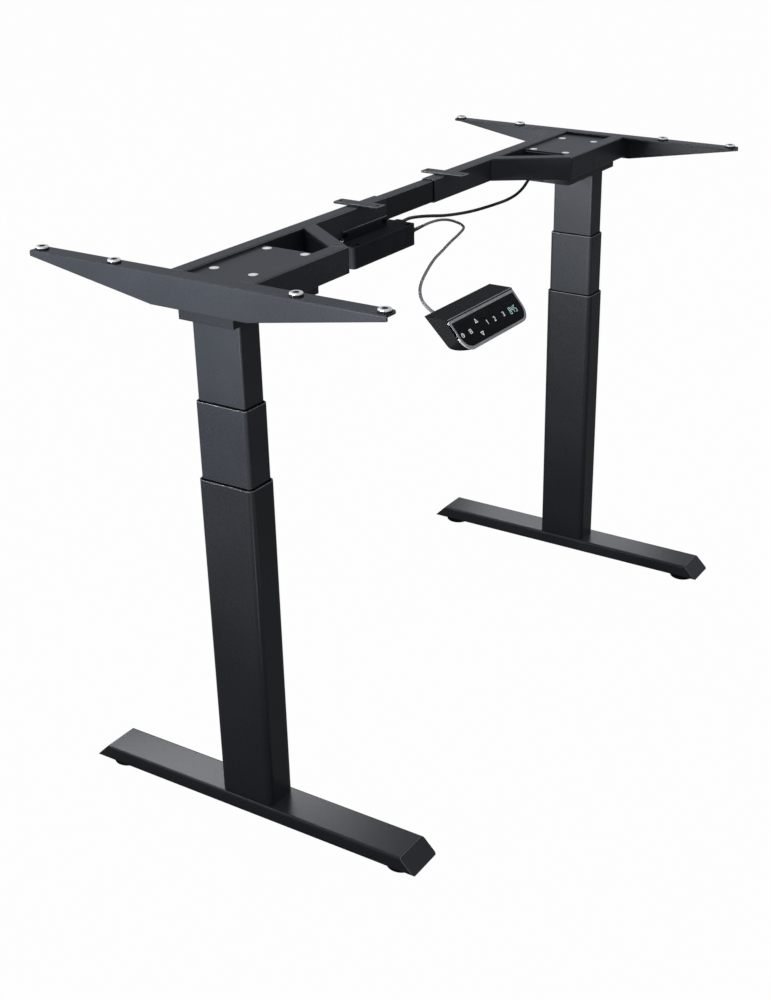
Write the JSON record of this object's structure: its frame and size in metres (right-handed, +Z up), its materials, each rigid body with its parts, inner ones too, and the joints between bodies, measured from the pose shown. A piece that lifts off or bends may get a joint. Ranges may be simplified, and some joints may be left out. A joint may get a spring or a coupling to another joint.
{
  "type": "standing_desk_frame",
  "caption": "Height-adjustable standing desk frame in black steel: lifting columns on long feet, telescoping crossbar, side brackets, control box and handset.",
  "frame": {"origin": "On the floor, midway between the centres of the two columns.", "axes": "X runs along the crossbar from the left column to the right one, Y from the handset's side to the rear, Z up."},
  "size_m": [1.201, 0.7226, 0.886],
  "materials": {
    "black_powder_coat": "satin",
    "bare_steel": "satin",
    "zinc_plated_steel": "satin",
    "black_plastic": "matte",
    "white_nylon_pad": "satin",
    "circuit_board": "matte",
    "silver_frame": "satin",
    "glossy_black_panel": "gloss",
    "cable_sheath": "gloss",
    "foot_rubber": "matte",
    "black_nylon": "matte"
  },
  "bodies": {
    "left_base": {"left_foot": "black_powder_coat", "left_column_bolts": "zinc_plated_steel", "left_column_outer": "black_powder_coat", "left_outer_guide": "black_nylon", "left_support_tube": "bare_steel"},
    "left_leveller_front_body": {"left_leveller_front": "foot_rubber"},
    "left_leveller_rear_body": {"left_leveller_rear": "foot_rubber"},
    "left_middle": {"left_column_middle": "black_powder_coat", "left_middle_glides": "black_nylon", "left_lift_tube": "bare_steel"},
    "left_lower_screw": {"left_lower_spindle": "zinc_plated_steel"},
    "left_upper_screw": {"left_upper_spindle": "zinc_plated_steel"},
    "left_head": {"left_column_inner": "black_powder_coat", "left_inner_glide": "black_nylon", "left_motor": "bare_steel", "left_motor_housing": "black_powder_coat", "left_mount_plate": "black_powder_coat", "left_head_screws": "zinc_plated_steel", "left_rear_rail": "black_powder_coat", "left_front_rail": "black_powder_coat", "left_diagonal_rail": "black_powder_coat", "left_side_bracket": "black_powder_coat", "left_desktop_pads": "white_nylon_pad", "left_desktop_tab": "black_powder_coat", "control_box_cover": "black_plastic", "control_box_base": "black_plastic", "control_board": "circuit_board", "box_hanger": "black_powder_coat", "hanger_screws": "zinc_plated_steel", "cable_plugs": "black_plastic", "handset_case": "black_plastic", "handset_bezel": "silver_frame", "handset_panel": "glossy_black_panel", "handset_cable": "cable_sheath", "motor_cable": "cable_sheath"},
    "right_base": {"right_foot": "black_powder_coat", "right_column_bolts": "zinc_plated_steel", "right_column_outer": "black_powder_coat", "right_outer_guide": "black_nylon", "right_support_tube": "bare_steel"},
    "right_leveller_front_body": {"right_leveller_front": "foot_rubber"},
    "right_leveller_rear_body": {"right_leveller_rear": "foot_rubber"},
    "right_middle": {"right_column_middle": "black_powder_coat", "right_middle_glides": "black_nylon", "right_lift_tube": "bare_steel"},
    "right_lower_screw": {"right_lower_spindle": "zinc_plated_steel"},
    "right_upper_screw": {"right_upper_spindle": "zinc_plated_steel"},
    "right_head": {"right_column_inner": "black_powder_coat", "right_inner_glide": "black_nylon", "right_motor": "bare_steel", "right_motor_housing": "black_powder_coat", "right_mount_plate": "black_powder_coat", "right_head_screws": "zinc_plated_steel", "right_rear_rail": "black_powder_coat", "right_front_rail": "black_powder_coat", "right_diagonal_rail": "black_powder_coat", "right_side_bracket": "black_powder_coat", "right_desktop_pads": "white_nylon_pad", "right_desktop_tab": "black_powder_coat"},
    "crossbar": {"crossbar_inner": "black_powder_coat"}
  },
  "joints": [
    {"name": "left_lower_lift", "type": "slide", "parent": "left_base", "child": "left_middle", "axis": [0, 0, 1], "range_m": [-0.11, 0.215]},
    {"name": "left_upper_lift", "type": "slide", "parent": "left_middle", "child": "left_head", "axis": [0, 0, 1], "range_m": [-0.11, 0.215]},
    {"name": "width_adjust", "type": "slide", "parent": "left_head", "child": "right_head", "axis": [1, 0, 0], "range_m": [-0.15, 0.45], "deforming": ["motor_cable"]},
    {"name": "crossbar_slide", "type": "slide", "parent": "left_head", "child": "crossbar", "axis": [1, 0, 0], "range_m": [-0.075, 0.225]},
    {"name": "right_upper_lift", "type": "slide", "parent": "right_head", "child": "right_middle", "axis": [0, 0, -1], "range_m": [-0.11, 0.215]},
    {"name": "right_lower_lift", "type": "slide", "parent": "right_middle", "child": "right_base", "axis": [0, 0, -1], "range_m": [-0.11, 0.215]},
    {"name": "left_lower_screw_spin", "type": "hinge", "parent": "left_middle", "child": "left_lower_screw", "pos_m": [-0.544, 0, 0.4], "axis": [0, 0, 1], "range_deg": [-4950, 9675]},
    {"name": "left_upper_screw_spin", "type": "hinge", "parent": "left_head", "child": "left_upper_screw", "pos_m": [-0.544, 0, 0.6], "axis": [0, 0, 1], "range_deg": [-4950, 9675]},
    {"name": "left_leveller_front_turn", "type": "hinge", "parent": "left_base", "child": "left_leveller_front_body", "pos_m": [-0.544, -0.271, 0], "axis": [0, 0, 1], "continuous": true},
    {"name": "left_leveller_rear_turn", "type": "hinge", "parent": "left_base", "child": "left_leveller_rear_body", "pos_m": [-0.544, 0.271, 0], "axis": [0, 0, 1], "continuous": true},
    {"name": "right_lower_screw_spin", "type": "hinge", "parent": "right_middle", "child": "right_lower_screw", "pos_m": [0.544, 0, 0.4], "axis": [0, 0, 1], "range_deg": [-4950, 9675]},
    {"name": "right_upper_screw_spin", "type": "hinge", "parent": "right_head", "child": "right_upper_screw", "pos_m": [0.544, 0, 0.6], "axis": [0, 0, 1], "range_deg": [-4950, 9675]},
    {"name": "right_leveller_front_turn", "type": "hinge", "parent": "right_base", "child": "right_leveller_front_body", "pos_m": [0.544, -0.271, 0], "axis": [0, 0, 1], "continuous": true},
    {"name": "right_leveller_rear_turn", "type": "hinge", "parent": "right_base", "child": "right_leveller_rear_body", "pos_m": [0.544, 0.271, 0], "axis": [0, 0, 1], "continuous": true}
  ],
  "couplings": [
    {"joint": "left_upper_lift", "follows": "left_lower_lift", "ratio": 1},
    {"joint": "right_upper_lift", "follows": "left_lower_lift", "ratio": 1},
    {"joint": "right_lower_lift", "follows": "left_lower_lift", "ratio": 1},
    {"joint": "crossbar_slide", "follows": "width_adjust", "ratio": 0.5},
    {"joint": "left_lower_screw_spin", "follows": "left_lower_lift", "rad_per_m": 785.4},
    {"joint": "left_upper_screw_spin", "follows": "left_lower_lift", "rad_per_m": 785.4},
    {"joint": "right_lower_screw_spin", "follows": "left_lower_lift", "rad_per_m": 785.4},
    {"joint": "right_upper_screw_spin", "follows": "left_lower_lift", "rad_per_m": 785.4}
  ]
}
